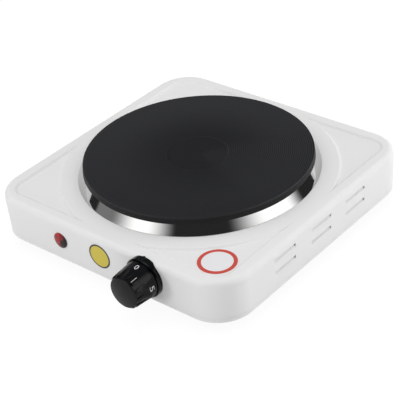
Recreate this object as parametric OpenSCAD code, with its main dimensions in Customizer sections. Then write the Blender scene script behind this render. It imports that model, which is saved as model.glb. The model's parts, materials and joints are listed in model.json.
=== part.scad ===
/* [Body] */
// Side of the square body
body_side = 240; // [225:1:280]
// Height of the pressed housing
housing_h = 36; // [34:1:48]
// Radius of the upright corners
corner_r = 30; // [24:1:38]
// Radius of the rolled top edge
top_edge_r = 5; // [3:0.5:7]
// How far each wall leans in at its foot
wall_draft = 1; // [0.4:0.2:1.6]
// Thickness of the housing's sheet steel
sheet_t = 1; // [0.8:0.1:1.4]
// Height of the housing's lower edge above the table
ground_gap = 10; // [8:1:16]
// Height of the swaged line above the lower edge
bead_h = 3; // [2.4:0.2:5]

/* [Sunk corner panels] */
// Depth of the sunk panels
panel_depth = 1.5; // [0.8:0.1:2]
// Width of the rim between a panel and the body's side
panel_margin = 10.6; // [8:0.2:14]
// Width of a panel's straight pressed edge
panel_edge_w = 2.8; // [1:0.2:3.4]
// Radius of a panel's outer corner
panel_corner_r = 13.6; // [10:0.2:20]
// Gap from the trim ring to the round pressed edge
panel_ring_gap = 13.6; // [11:0.2:15]
// Width of the round pressed edge
panel_slope_w = 2.4; // [1.6:0.2:3]

/* [Louvres] */
// Louvres along a side wall
louvre_columns = 3; // [1:1:3]
// Rows of louvres
louvre_rows = 2; // [1:1:2]
// Length of a louvre
louvre_l = 25.5; // [16:0.5:32]
// Height of a louvre's opening
louvre_h = 3; // [2:0.2:4]
// Distance between louvre columns
louvre_pitch = 45.8; // [40:0.2:50]
// Distance between louvre rows
louvre_row_pitch = 11; // [9:0.5:12]
// Height of the lower row above the housing's edge
louvre_low = 16; // [14:0.5:18]
// How far the louvre columns sit forward of the middle
louvre_shift = 1.8; // [0:0.2:6]
// How far a louvre blade is pressed inwards
louvre_press = 2.6; // [1.6:0.2:3.6]

/* [Hotplate] */
// Diameter of the cooking face
plate_d = 185.4; // [176:0.2:190]
// Height of the cooking face above the housing
plate_rise = 13.6; // [12:0.2:18]
// Height of the bare iron edge above the trim ring
plate_edge_h = 5.6; // [4:0.1:7]
// How far the iron edge slopes out
plate_flare = 0.5; // [0.2:0.1:1.5]
// Thickness of the iron above the heating channels
plate_face_t = 8.6; // [6:0.2:9]
// Diameter of the sunk middle of the cooking face
plate_middle_d = 50; // [36:1:60]
// Depth of the sunk middle
plate_middle_depth = 0.6; // [0.3:0.1:1.2]
// Thickness of the steel cover under the plate
cover_t = 0.8; // [0.6:0.1:1.5]
// Thickness of the trim ring's steel
ring_t = 0.8; // [0.6:0.1:1.2]
// How far the trim ring slopes out
ring_flare = 4.6; // [3:0.2:7]
// Radius of a heating coil's winding
coil_wind_r = 2.4; // [1.6:0.1:2.6]

/* [Plate fixing] */
// Diameter of the centre stud
stud_d = 6; // [5:0.5:8]
// Width of the clamp bridge
bridge_w = 24; // [18:1:30]
// Thickness of the clamp bridge
bridge_t = 2; // [1.5:0.1:3]
// Drop of the bridge's middle below the housing top
bridge_drop = 7; // [6:0.5:8]

/* [Base] */
// How far the base plate sits up inside the housing
base_recess = 2; // [1.9:0.1:4]
// Thickness of the base plate
base_t = 1; // [0.8:0.1:1.5]
// Gap between the base plate and the housing wall
base_gap = 0.5; // [0.2:0.1:1]
// Distance of each foot's centre from the body's sides
foot_inset = 35; // [28:1:50]
// Diameter of a foot at the table
foot_d = 22; // [16:1:28]
// Diameter of the base and foot screws' shanks
screw_d = 3.9; // [3:0.1:4.2]
// Radius of the heat shield
shield_r = 70; // [60:1:73]
// Height of the heat shield above the base plate
shield_h = 5; // [4:0.5:6]

/* [Knob and thermostat] */
// Knob axis to the right of the middle
knob_x = 45.2; // [38:0.2:50]
// Knob axis above the housing's lower edge
knob_up = 20.3; // [19:0.1:22]
// Diameter of the knob at its skirt
knob_d = 30.6; // [28:0.2:32]
// Diameter of the knob at its front
knob_front_d = 27.8; // [25:0.2:30]
// Length of the knob
knob_l = 21.5; // [18:0.5:26]
// Grip flutes round the knob
knob_flutes = 12; // [8:1:14]
// Depth of a grip flute at the knob's front
flute_depth = 1.3; // [0.6:0.1:1.4]
// Diameter of the fixed bezel behind the knob
bezel_d = 33; // [32:0.5:36]
// Depth of the bezel from the wall
bezel_depth = 4; // [3.6:0.2:6]
// Gap between bezel and knob
knob_gap = 0.4; // [0.2:0.1:1]
// Diameter of the spindle
spindle_d = 6; // [5:0.2:6.4]
// Travel of the ceramic push pin
pin_travel = 0.6; // [0.4:0.05:0.8]

/* [Pilot lamp] */
// Lamp axis to the left of the middle
lamp_x = 42.4; // [34:0.2:60]
// Lamp axis above the housing's lower edge
lamp_up = 18.5; // [16:0.5:20]
// Diameter of the lens rim
lamp_d = 13.4; // [12:0.2:16]
// How far the lens stands out
lamp_dome = 1.8; // [1:0.1:3]

/* [Cord entry] */
// Cord entry to the right of the middle, on the back
cord_x = 60; // [54:1:66]
// Cord entry above the housing's lower edge
cord_up = 14; // [12:0.5:18]
// Diameter of the hole for the cord
cord_hole_d = 7.5; // [6:0.1:9]

/* [Decals] */
// Gap from the panel's round pressed edge to the round decal
round_decal_gap = 0.2; // [0.1:0.1:2]
// Gap from the round decal to the panel's corner
round_decal_edge = 2.6; // [0.5:0.1:4]
// Diameter of the front decal
front_decal_d = 21; // [14:1:24]
// Front decal to the left of the middle
front_decal_x = 1.3; // [0:0.1:5]
// Front decal above the housing's lower edge
front_decal_up = 19.5; // [17:0.5:20]
// Thickness of a decal
decal_t = 0.2; // [0.1:0.05:0.4]

/* [Hidden] */
$fn = 64;

steps = 6;        // straight pieces in a pressed or rolled edge
slack = 0.1;      // clearance of parts that are only placed together
run_gap = 0.05;   // radial clearance of a turning or sliding fit
cut = 1;          // how far a cutting shape runs past a face
bead_w = 0.25;    // half width and depth of the swaged line
half = body_side / 2;

// Heights
z_edge = ground_gap;
z_top = z_edge + housing_h;
z_under = z_top - sheet_t;
z_base = z_edge + base_recess;
z_floor = z_base + base_t;
z_plate = z_top + plate_rise;
z_shoulder = z_plate - plate_edge_h;
z_ribs = z_top - 1.5;
z_channel = z_plate - plate_face_t;
z_cover = z_ribs - cover_t;
z_shield = z_floor + shield_h;

// Hotplate radii
plate_r = plate_d / 2;
shoulder_r = plate_r + plate_flare;
ring_r = shoulder_r + ring_flare;
groove_r = shoulder_r - 2.6;
neck_r = shoulder_r - 1.2;
skirt_r = plate_r - 6.2;
opening_r = skirt_r + 2.5;
boss_r = 10;
rib_w = 6;
boss_gap = 14;
channel_w = 22;
inner_channel = [boss_r + boss_gap, boss_r + boss_gap + channel_w];
outer_channel = [inner_channel[1] + rib_w, skirt_r - 4];
inner_coil_r = (inner_channel[0] + inner_channel[1]) / 2;
outer_coil_r = outer_channel[0] + (outer_channel[1] - outer_channel[0]) * 0.3;
far_coil_r = outer_channel[0] + (outer_channel[1] - outer_channel[0]) * 0.7;
coil_z = (z_channel + z_ribs) / 2;

// Sunk panels
panel_half = half - panel_margin;
panel_ring_r = ring_r + panel_ring_gap;
z_panel = z_top - panel_depth;

// Round decal, on the diagonal of the front right panel
decal_near = panel_ring_r + panel_slope_w + round_decal_gap;
decal_far = (panel_half - panel_corner_r) * sqrt(2) + panel_corner_r - panel_edge_w - round_decal_edge;
round_decal_r = (decal_far - decal_near) / 2;
round_decal_at = (decal_far + decal_near) / 2 / sqrt(2);

// Plate fixing
stud_r = stud_d / 2;
nut_af = stud_d * 5 / 3;
nut_h = stud_d * 5 / 6;
washer_t = 1.2;
washer_r = stud_d;
bridge_end = opening_r + 13;
bridge_land = opening_r + 2;
bridge_foot = skirt_r - 5;
z_bridge = z_under - bridge_drop;
z_stud_end = z_bridge - bridge_t - washer_t - nut_h - 3;

// Terminals under the plate
pin_r = 1.5;
coil_pin_x = 10;
function coil_gap(r) = 2 * asin(coil_pin_x / r);
inner_pin_y = sqrt(inner_coil_r * inner_coil_r - coil_pin_x * coil_pin_x);
outer_pin_y = sqrt(outer_coil_r * outer_coil_r - coil_pin_x * coil_pin_x);
block_h = 10;
z_block = z_cover - block_h;
strap_t = 0.8;
strap_w = 5;
strap_end = 9;
z_strap = z_block - strap_t;
tab_w = 6.3;
tab_t = 0.8;
tab_y = (inner_pin_y + outer_pin_y) / 2;
tab_reach = 26;

// Screws, feet and shield
foot_offset = half - foot_inset;
screw_r = screw_d / 2;
head_r = screw_r + 1.7;
head_h = 1.8;
lug_inset = 45;
lug_x = half - lug_inset;
lug_w = 16;
lug_l = 12;
lug_screw_y = half - 9;
foot_r = foot_d / 2;
foot_pocket = z_base * 0.45;
shield_t = 0.8;
shield_leg_r = 4;
shield_leg_x = 50;
shield_leg_y = 34;
rivet_r = 1.6;

// Front wall
knob_z = z_edge + knob_up;
lamp_z = z_edge + lamp_up;
function wall_lean(z) = wall_draft * (z_top - z) / housing_h;
y_front = -(half - wall_lean(knob_z));
y_inner = y_front + sheet_t;
y_lamp = -(half - wall_lean(lamp_z));
bezel_r = bezel_d / 2;
y_bezel = y_front - bezel_depth;
y_knob = y_bezel - knob_gap;

// Thermostat, measured back from the wall
frame_t = 1.5;
y_frame = y_inner + 0.6 + frame_t;
spindle_r = spindle_d / 2;
bush_r = spindle_r + 1.6;
bush_nut_t = 2.4;
bush_nut_af = 12;
y_bush = y_bezel - bush_nut_t - 0.4;
y_spindle = y_frame + 7.2;
y_bush_end = y_spindle + 2.4;
thermo_pin_r = 1.5;
leaf_t = 0.6;
y_arm = y_bush_end + 3.6;
y_fixed = y_arm + leaf_t + 3.6;
stack_x = knob_x + 22;
stack_r = 5;
stack_rivet_r = 2;
arm_pivot_x = stack_x - stack_r - 0.4;
contact_x = knob_x - 12;
contact_r = 2;
arm_swing = pin_travel / (arm_pivot_x - knob_x - thermo_pin_r);
contact_travel = arm_swing * (arm_pivot_x - contact_x + contact_r);
contact_h = 1.4;
fixed_contact_h = y_fixed - y_arm - leaf_t - contact_h - contact_travel - 0.1;
y_stack_end = y_fixed + leaf_t + 3;
leaf_w = 7;
thermo_tab_x = stack_x + stack_r + 8;
frame_screw_x = 11;
frame_half_h = 10;

// Knob inside
knob_r = knob_d / 2;
knob_front_r = knob_front_d / 2;
knob_wall = 2.2;
knob_face_t = 7;
knob_dome = 1.2;
knob_round = 1;
knob_step = 1.1;
knob_hub_r = spindle_r + 2.5;
y_knob_front = y_knob - knob_l;
knob_cap_r = knob_front_r - knob_step;
knob_rim = knob_l - knob_dome - knob_round - 0.6;
y_spindle_front = y_knob_front + knob_face_t - 1.4;
flat_up = spindle_r * 0.6;
clip_t = 0.4;
flute_w = [0.8, 4.2];
flute_l = 13;

// Lamp
wire_r = 1.3;
lead_r = 0.9;
lamp_r = lamp_d / 2;
lamp_tube_r = lamp_r - 1.5;
lamp_tube_l = 21;
bulb_r = 2.6;
bulb_l = 12;
resistor_r = 1.2;
resistor_l = 8;

// Mains terminal block
pole_pitch = 12;
block_inset = 24;
block_y = half - block_inset;
block_l = 20;
block_top = 14;
insert_r = 2.6;
insert_bore_r = 1.7;
insert_z = z_floor + 6;
block_screw_r = 1.4;
earth_x = 20;
earth_y = half - block_inset;
tag_bore_z = wire_r + 0.8;

// Wires
sleeve_l = 8;
barrel_l = 5;
y_tail = y_lamp + lamp_tube_l;
tab_z = z_strap + strap_t - tab_t / 2;
spade_end = sleeve_l + barrel_l - 3;
route_live = [
    [cord_x + pole_pitch, block_y - block_l / 2 + 1, insert_z],
    [cord_x + pole_pitch, block_y - block_l / 2 - 6, insert_z],
    [82, 68, 20], [98, 48, 20], [103, 0, 22], [104, -50, 25], [105, -80, 29],
    [103, y_arm - 7, knob_z - 1],
    [thermo_tab_x + spade_end + 5, y_arm - 0.5, knob_z],
    [thermo_tab_x + spade_end - 5, y_arm + leaf_t / 2, knob_z]];
route_load = [
    [thermo_tab_x + spade_end - 5, y_fixed + leaf_t / 2, knob_z],
    [thermo_tab_x + spade_end + 2, y_fixed + leaf_t / 2 + 1, knob_z],
    [95, -86, 29], [92, -70, 27], [80, -30, 26], [70, 5, 26], [60, 30, 28],
    [tab_reach + spade_end + 10, tab_y - 2, tab_z],
    [tab_reach + spade_end - 5, tab_y, tab_z]];
route_neutral = [
    [cord_x, block_y - block_l / 2 + 1, insert_z],
    [cord_x, block_y - block_l / 2 - 6, insert_z],
    [48, 72, 22], [20, 76, 25], [-20, 76, 27], [-46, 66, 30],
    [-tab_reach - spade_end - 12, tab_y + 4, tab_z],
    [-tab_reach - spade_end - 4, tab_y, tab_z],
    [-tab_reach - spade_end + 5, tab_y, tab_z]];
route_earth = [
    [cord_x - pole_pitch, block_y - block_l / 2 + 1, insert_z],
    [cord_x - pole_pitch, block_y - block_l / 2 - 5, insert_z],
    [43, shield_r + 5, 18], [28, shield_r + 4, 16],
    [earth_x, earth_y - 17, z_floor + tag_bore_z],
    [earth_x, earth_y - 13, z_floor + tag_bore_z],
    [earth_x, earth_y - 7, z_floor + tag_bore_z]];
route_lamp_live = [
    [-lamp_x + 2, y_tail + resistor_l + slack, lamp_z],
    [-lamp_x + 2, y_tail + resistor_l + 4, lamp_z],
    [-lamp_x + 2, y_tail + resistor_l + 8, lamp_z],
    [-22, -62, 27], [10, -36, 27], [20, -8, 27], [18, 8, 28],
    [coil_pin_x, inner_pin_y - 17, z_strap + strap_t / 2],
    [coil_pin_x, inner_pin_y - 13, z_strap + strap_t / 2],
    [coil_pin_x, inner_pin_y - strap_end - slack, z_strap + strap_t / 2]];
route_lamp_neutral = [
    [-lamp_x - 2, y_tail - 1, lamp_z],
    [-lamp_x - 2, y_tail + 3, lamp_z],
    [-lamp_x - 2, y_tail + 8, lamp_z],
    [-38, -56, 27], [-30, -28, 27], [-20, 0, 28],
    [-coil_pin_x, inner_pin_y - 17, z_strap + strap_t / 2],
    [-coil_pin_x, inner_pin_y - 13, z_strap + strap_t / 2],
    [-coil_pin_x, inner_pin_y - strap_end - slack, z_strap + strap_t / 2]];

// Pressed S-shaped edge from one height to another, as [offset, height] points
function s_edge(w, z0, z1) = [for (i = [0:steps]) let (t = i / steps)
    [w * t, z0 + (z1 - z0) * t * t * (3 - 2 * t)]];

// Outline of the body's section: half widths against height, for a skin set in by d.
// The outer one has a fine swaged line round its foot
function body_section(d) = let (r = top_edge_r - d, zt = z_top - d, zb = z_edge + bead_h)
    concat(d > 0 ? [[half - wall_draft - d, z_edge - cut]] : [],
        [[half - wall_draft - d, z_edge]],
        d == 0 ? [for (i = [-1:1]) [half - wall_lean(zb + i * bead_w) - (i == 0 ? bead_w : 0), zb + i * bead_w]] : [],
        [for (i = [0:steps]) let (a = 90 * i / steps)
            [half - wall_lean(zt - r + r * sin(a)) - d - r + r * cos(a), zt - r + r * sin(a)]]);

// Closed rounded block from a list of [half width, height] points
module rounded_block(section, r) {
    low = section[0][1];
    high = section[len(section) - 1][1];
    side = concat([[0, low]], section, [[0, high]]);
    round = concat([[0, low]], [for (p = section) [p[0] - half + r, p[1]]], [[0, high]]);
    for (a = [0:90:270]) rotate([0, 0, a]) {
        rotate([90, 0, 0])
            linear_extrude(height = 2 * (half - r), center = true) polygon(side);
        translate([half - r, half - r, 0])
            rotate_extrude(angle = 90) polygon(round);
    }
}

module body_block(d) { rounded_block(body_section(d), corner_r); }

// The four sunk panels as one cutting block, grown by d for the underside
module panel_cutter(d) {
    edge = s_edge(panel_edge_w, z_panel, z_top);
    slope = s_edge(panel_slope_w, z_top, z_panel);
    difference() {
        rounded_block(concat(
            [for (p = edge) [panel_half - panel_edge_w + p[0] + d, p[1] - d]],
            [[panel_half + d, z_top + cut]]), panel_corner_r + panel_margin);
        rotate_extrude() polygon(concat([[0, z_top + 2 * cut], [0, z_panel - 2 * cut]],
            [[panel_ring_r + panel_slope_w - d, z_panel - 2 * cut]],
            [for (i = [steps:-1:0]) [panel_ring_r + slope[i][0] - d, slope[i][1] - d]],
            [[panel_ring_r - d, z_top + 2 * cut]]));
    }
}

function louvre_y(i) = (i - (louvre_columns - 1) / 2) * louvre_pitch - louvre_shift;
function louvre_z(k) = z_edge + louvre_low + k * louvre_row_pitch;

module each_louvre() {
    for (side = [-1, 1], i = [0:louvre_columns - 1], k = [0:louvre_rows - 1])
        let (z = louvre_z(k) - louvre_h / 2)
            translate([side * (half - wall_lean(z)), louvre_y(i), z])
                mirror([side > 0 ? 0 : 1, 0, 0]) children();
}

// Section of a louvre blade, running up and inwards from the slot's lower edge
module louvre_blade() {
    rotate([90, 0, 0]) linear_extrude(height = louvre_l - 1, center = true)
        polygon([[-0.05, 0], [-0.05, -0.3], [-sheet_t, -0.8],
            [-louvre_press - sheet_t * 0.8, louvre_h - 0.3],
            [-louvre_press - 0.05, louvre_h], [-sheet_t * 0.4, 0.3]]);
}

module disc_y(r, y0, y1) {
    translate([0, y0, 0]) rotate([-90, 0, 0]) cylinder(r = r, h = y1 - y0);
}

module hex_y(af, y0, y1) {
    translate([0, y0, 0]) rotate([-90, 0, 0]) cylinder(d = af / cos(30), h = y1 - y0, $fn = 6);
}

module box(x0, x1, y0, y1, z0, z1) {
    translate([x0, y0, z0]) cube([x1 - x0, y1 - y0, z1 - z0]);
}

module lug_places() {
    for (x = [-lug_x, lug_x], y = [-1, 1]) translate([x, y * lug_screw_y, 0]) children();
}

module foot_places() {
    for (x = [-1, 1], y = [-1, 1])
        translate([x * foot_offset, y * foot_offset, 0]) children();
}

module housing() color("whitesmoke") {
    difference() {
        body_block(0);
        difference() {
            body_block(sheet_t);
            panel_cutter(sheet_t);
            intersection() {
                translate([-half, -half, z_floor]) cube([body_side, body_side, sheet_t]);
                lug_places() box(-lug_w / 2, lug_w / 2, -half, half, 0, z_top);
                difference() {
                    translate([-half, -half, 0]) cube([body_side, body_side, z_top]);
                    translate([-half, -(half - lug_l - sheet_t), -cut])
                        cube([body_side, 2 * (half - lug_l - sheet_t), z_top]);
                }
            }
        }
        panel_cutter(0);
        translate([0, 0, z_under - cut]) cylinder(r = opening_r, h = sheet_t + 2 * cut);
        each_louvre() box(-sheet_t - 1.2, 2, -louvre_l / 2, louvre_l / 2, 0, louvre_h);
        lug_places() translate([0, 0, z_base]) cylinder(r = screw_r, h = 4);
        translate([knob_x, 0, knob_z]) {
            disc_y(bush_r + slack, -half - cut, y_inner + 1);
            for (s = [-1, 1]) translate([s * frame_screw_x, 0, 0])
                disc_y(screw_r + slack, -half - cut, y_inner + 1);
        }
        translate([-lamp_x, 0, lamp_z]) disc_y(lamp_tube_r + slack, -half - cut, y_lamp + 2);
        translate([cord_x, 0, z_edge + cord_up])
            disc_y(cord_hole_d / 2 + 2 + slack, half - 4, half + cut);
    }
    each_louvre() louvre_blade();
}

module base_plate() color("lightgray") {
    rim = half - wall_draft - sheet_t - base_gap;
    difference() {
        rounded_block([[rim, z_base], [rim, z_floor]], corner_r);
        lug_places() translate([0, 0, z_base - cut]) cylinder(r = screw_r + slack, h = base_t + 2 * cut);
        foot_places() translate([0, 0, z_base - cut]) cylinder(r = screw_r, h = base_t + 2 * cut);
        shield_places() translate([0, 0, z_base - cut]) cylinder(r = rivet_r, h = base_t + 2 * cut);
        translate([earth_x, earth_y, z_base - cut]) cylinder(r = screw_r, h = base_t + 2 * cut);
        for (s = [-1, 1], i = [-3:3])
            translate([i * 12, s * 12, z_base - cut]) vent_slot();
    }
}

module vent_slot() {
    slot_r = 1.6;
    slot_l = 14;
    linear_extrude(height = base_t + 2 * cut) {
        for (s = [-1, 1]) translate([0, s * (slot_l / 2 - slot_r)]) circle(r = slot_r);
        square([2 * slot_r, slot_l - 2 * slot_r], center = true);
    }
}

module base_screws() color("silver") lug_places() {
    translate([0, 0, z_base - head_h]) cylinder(r = head_r, h = head_h);
    translate([0, 0, z_base - cut]) cylinder(r = screw_r, h = base_t + sheet_t + 4 + cut);
}

module foot() color("dimgray") difference() {
    rotate_extrude() polygon([[0, 0], [foot_r - 1, 0], [foot_r, 1], [foot_r, z_base - 4],
        [foot_r + 1.5, z_base - 3], [foot_r + 1.5, z_base], [0, z_base]]);
    translate([0, 0, -cut]) cylinder(r = head_r + 0.8, h = foot_pocket + cut);
    cylinder(r = screw_r + slack, h = z_base + cut);
}

module foot_front_left() translate([-foot_offset, -foot_offset, 0]) foot();
module foot_front_right() translate([foot_offset, -foot_offset, 0]) foot();
module foot_rear_left() translate([-foot_offset, foot_offset, 0]) foot();
module foot_rear_right() translate([foot_offset, foot_offset, 0]) foot();

module foot_screws() color("silver") foot_places() {
    translate([0, 0, foot_pocket - head_h]) cylinder(r = head_r, h = head_h);
    translate([0, 0, foot_pocket - cut]) cylinder(r = screw_r, h = z_floor - foot_pocket + 3 + cut);
}

module shield_places() {
    for (x = [-1, 1], y = [-1, 1])
        translate([x * shield_leg_x, y * shield_leg_y, 0]) children();
}

module heat_shield() color("gainsboro") difference() {
    union() {
        translate([0, 0, z_shield]) cylinder(r = shield_r, h = shield_t);
        translate([0, 0, z_shield - 2]) difference() {
            cylinder(r = shield_r, h = 2.1);
            translate([0, 0, -cut]) cylinder(r = shield_r - shield_t, h = 4);
        }
        shield_places() translate([0, 0, z_floor]) cylinder(r = shield_leg_r, h = shield_h);
    }
    shield_places() translate([0, 0, z_floor - cut])
        cylinder(r = rivet_r, h = shield_h + shield_t + 2 * cut);
}

module shield_rivets() color("silver") shield_places() {
    translate([0, 0, z_base - 0.5]) cylinder(r = rivet_r, h = z_shield + shield_t - z_base + 1);
    translate([0, 0, z_shield + shield_t]) cylinder(r1 = rivet_r + 1.2, r2 = rivet_r, h = 1);
    translate([0, 0, z_base - 0.8]) cylinder(r1 = rivet_r, r2 = rivet_r + 1.2, h = 0.8);
}

// Heating coil: an open winding ring with its two end pins
module coil(r, gap) {
    translate([0, 0, coil_z]) rotate([0, 0, 90 + gap / 2])
        rotate_extrude(angle = 360 - gap) translate([r, 0]) circle(r = coil_wind_r);
}

module coil_pins(y) {
    for (s = [-1, 1]) translate([s * coil_pin_x, y, z_cover])
        cylinder(r = pin_r, h = coil_z - z_cover);
}

module heating_coil_inner() color("goldenrod") {
    coil(inner_coil_r, coil_gap(inner_coil_r));
    coil_pins(inner_pin_y);
}

module heating_coil_outer() color("goldenrod") {
    gap = coil_gap(outer_coil_r);
    coil(outer_coil_r, gap);
    coil(far_coil_r, gap);
    coil_pins(outer_pin_y);
    for (s = [-1, 1]) rotate([0, 0, 90 + s * (gap / 2 + 3)])
        translate([outer_coil_r, -pin_r, coil_z - pin_r])
            cube([far_coil_r - outer_coil_r, 2 * pin_r, 2 * pin_r]);
}

module channel(radii, z0, z1) {
    translate([0, 0, z0]) difference() {
        cylinder(r = radii[1], h = z1 - z0);
        translate([0, 0, -cut]) cylinder(r = radii[0], h = z1 - z0 + 2 * cut);
    }
}

module ceramic_embedding() color("linen") difference() {
    union() {
        channel(inner_channel, z_ribs, z_channel);
        channel(outer_channel, z_ribs, z_channel);
    }
    heating_coil_inner();
    heating_coil_outer();
}

module hotplate_casting() color("dimgray") difference() {
    edge = s_edge(1.5, z_plate - plate_middle_depth, z_plate);
    middle_r = plate_middle_d / 2;
    rotate_extrude() polygon(concat(
        [[0, z_ribs], [0, z_plate - plate_middle_depth]],
        [for (p = edge) [middle_r - 1.5 + p[0], p[1]]],
        [[plate_r - 0.8, z_plate], [plate_r - 0.2, z_plate - 0.25], [plate_r + 0.1, z_plate - 0.8],
         [shoulder_r, z_shoulder + 0.6], [shoulder_r, z_shoulder],
         [groove_r, z_shoulder], [groove_r, z_shoulder - ring_t - slack],
         [neck_r, z_shoulder - ring_t - slack], [neck_r, z_top + 2.2],
         [skirt_r, z_top + 2.2], [skirt_r, z_ribs]]));
    channel(inner_channel, z_ribs - cut, z_channel);
    channel(outer_channel, z_ribs - cut, z_channel);
    channel([boss_r, boss_r + 8], z_ribs - cut, z_channel);
    translate([0, 0, z_ribs - cut]) cylinder(r = stud_r, h = 9 + cut);
    cover_screw_places() translate([0, 0, z_ribs - cut]) cylinder(r = 1.5, h = 5 + cut);
}

module cover_screw_places() {
    for (a = [30, 150, 270]) rotate([0, 0, a])
        translate([inner_channel[1] + rib_w / 2, 0, 0]) children();
}

// Trim ring: lip in the casting's groove, sloping skirt and a foot on the housing
module trim_ring() color("gainsboro") {
    slope_h = z_shoulder - z_top;
    skin = ring_t * sqrt(slope_h * slope_h + ring_flare * ring_flare) / slope_h;
    lean = ring_flare * ring_t / slope_h;
    rotate_extrude($fn = 128) polygon([[groove_r + slack, z_shoulder], [shoulder_r - 0.2, z_shoulder],
        [shoulder_r + 0.1, z_shoulder - 0.4], [ring_r - 0.05, z_top + 0.3], [ring_r - 0.2, z_top],
        [neck_r + 1, z_top], [neck_r + 1, z_top + ring_t], [ring_r - lean - skin, z_top + ring_t],
        [shoulder_r + lean - skin, z_shoulder - ring_t], [groove_r + slack, z_shoulder - ring_t]]);
}

module plate_cover() color("lightgray") difference() {
    translate([0, 0, z_cover]) cylinder(r = skirt_r - 0.5, h = cover_t);
    translate([0, 0, z_cover - cut]) cylinder(r = stud_r + 0.5, h = cover_t + 2 * cut);
    for (s = [-1, 1], y = [inner_pin_y, outer_pin_y])
        translate([s * coil_pin_x, y, z_cover - cut]) cylinder(r = pin_r + 0.6, h = cover_t + 2 * cut);
    cover_screw_places() translate([0, 0, z_cover - cut]) cylinder(r = 1.5 + slack, h = cover_t + 2 * cut);
}

module cover_screws() color("silver") cover_screw_places() {
    translate([0, 0, z_cover - 1.6]) cylinder(r = 3, h = 1.6);
    translate([0, 0, z_cover - cut]) cylinder(r = 1.5, h = cover_t + 4.5 + cut);
}

module plate_terminal_block() color("ivory") difference() {
    box(-coil_pin_x - 5, coil_pin_x + 5, inner_pin_y - 5, outer_pin_y + 5, z_block, z_cover);
    for (s = [-1, 1], y = [inner_pin_y, outer_pin_y])
        translate([s * coil_pin_x, y, z_block - cut]) cylinder(r = pin_r, h = block_h + 2 * cut);
}

module plate_terminal() color("silver") {
    for (y = [inner_pin_y, outer_pin_y]) translate([coil_pin_x, y, z_block])
        cylinder(r = pin_r, h = block_h);
    box(coil_pin_x - strap_w / 2, coil_pin_x + strap_w / 2, inner_pin_y - strap_end, outer_pin_y + 3,
        z_strap, z_block);
    box(coil_pin_x, tab_reach, tab_y - tab_w / 2, tab_y + tab_w / 2, z_strap + strap_t - tab_t, z_block);
}

module plate_terminal_live() plate_terminal();
module plate_terminal_neutral() mirror([1, 0, 0]) plate_terminal();

module centre_stud() color("silver")
    translate([0, 0, z_stud_end]) cylinder(r = stud_r, h = z_ribs + 9 - z_stud_end);

module clamp_bridge() color("silver") difference() {
    rotate([90, 0, 0]) linear_extrude(height = bridge_w, center = true) polygon([
        [-bridge_end, z_under], [-bridge_land, z_under], [-bridge_foot, z_bridge],
        [bridge_foot, z_bridge], [bridge_land, z_under], [bridge_end, z_under],
        [bridge_end, z_under - bridge_t], [bridge_land + 0.6, z_under - bridge_t],
        [bridge_foot + 0.6, z_bridge - bridge_t], [-bridge_foot - 0.6, z_bridge - bridge_t],
        [-bridge_land - 0.6, z_under - bridge_t], [-bridge_end, z_under - bridge_t]]);
    translate([0, 0, z_bridge - bridge_t - cut]) cylinder(r = stud_r + slack, h = bridge_t + 2 * cut);
}

module stud_washer() color("silver") translate([0, 0, z_bridge - bridge_t - washer_t]) difference() {
    cylinder(r = washer_r, h = washer_t);
    translate([0, 0, -cut]) cylinder(r = stud_r + slack, h = washer_t + 2 * cut);
}

module stud_nut() color("silver")
    translate([0, 0, z_bridge - bridge_t - washer_t - nut_h]) difference() {
        cylinder(d = nut_af / cos(30), h = nut_h, $fn = 6);
        translate([0, 0, -cut]) cylinder(r = stud_r, h = nut_h + 2 * cut);
    }

module thermostat_frame() color("silver") difference() {
    intersection() {
        box(knob_x - 16, stack_x + stack_r + 2, -half, y_frame,
            knob_z - frame_half_h, knob_z + frame_half_h);
        body_block(sheet_t);
    }
    translate([knob_x, 0, knob_z]) {
        disc_y(bush_r, -half - cut, y_frame + cut);
        for (s = [-1, 1]) translate([s * frame_screw_x, 0, 0]) disc_y(screw_r, -half - cut, y_frame + cut);
    }
    translate([stack_x, 0, knob_z]) disc_y(stack_rivet_r, -half - cut, y_frame + cut);
}

module thermostat_screws() color("silver") for (s = [-1, 1])
    translate([knob_x + s * frame_screw_x, 0, knob_z]) {
        difference() {
            disc_y(head_r - 0.4, y_front - 1.6, y_front + 1);
            translate([-knob_x - s * frame_screw_x, 0, -knob_z]) body_block(0);
        }
        disc_y(screw_r, y_front - 1, y_frame + 1.5);
    }

module spindle_bush() color("goldenrod") translate([knob_x, 0, knob_z]) difference() {
    union() {
        disc_y(bush_r, y_bush, y_frame + 1);
        disc_y(bush_r + 2, y_frame, y_frame + 2);
        disc_y(bush_r - 0.6, y_frame + 1, y_bush_end);
    }
    disc_y(spindle_r + run_gap, y_bush - cut, y_spindle + 0.3);
    disc_y(thermo_pin_r + run_gap, y_spindle, y_bush_end + cut);
}

module bush_nut() color("silver") translate([knob_x, 0, knob_z]) difference() {
    hex_y(bush_nut_af, y_bezel - bush_nut_t, y_bezel);
    disc_y(bush_r, y_bezel - bush_nut_t - cut, y_bezel + cut);
}

module spindle() color("silver") translate([knob_x, 0, knob_z]) difference() {
    disc_y(spindle_r, y_spindle_front, y_spindle);
    box(-spindle_r - cut, spindle_r + cut, y_spindle_front - cut, y_bush - 0.2, flat_up, spindle_r + cut);
}

module push_pin() color("ivory") translate([knob_x, 0, knob_z])
    disc_y(thermo_pin_r, y_spindle + run_gap, y_arm - run_gap);

module stack_ring(y0, y1) {
    translate([stack_x, 0, knob_z]) difference() {
        disc_y(stack_r, y0, y1);
        disc_y(stack_rivet_r, y0 - cut, y1 + cut);
    }
}

module stack_insulators() color("ivory") {
    stack_ring(y_frame, y_arm - leaf_t - 1.5);
    stack_ring(y_arm - 1.5, y_arm);
    stack_ring(y_arm + leaf_t, y_fixed);
    stack_ring(y_fixed + leaf_t, y_stack_end);
}

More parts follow.
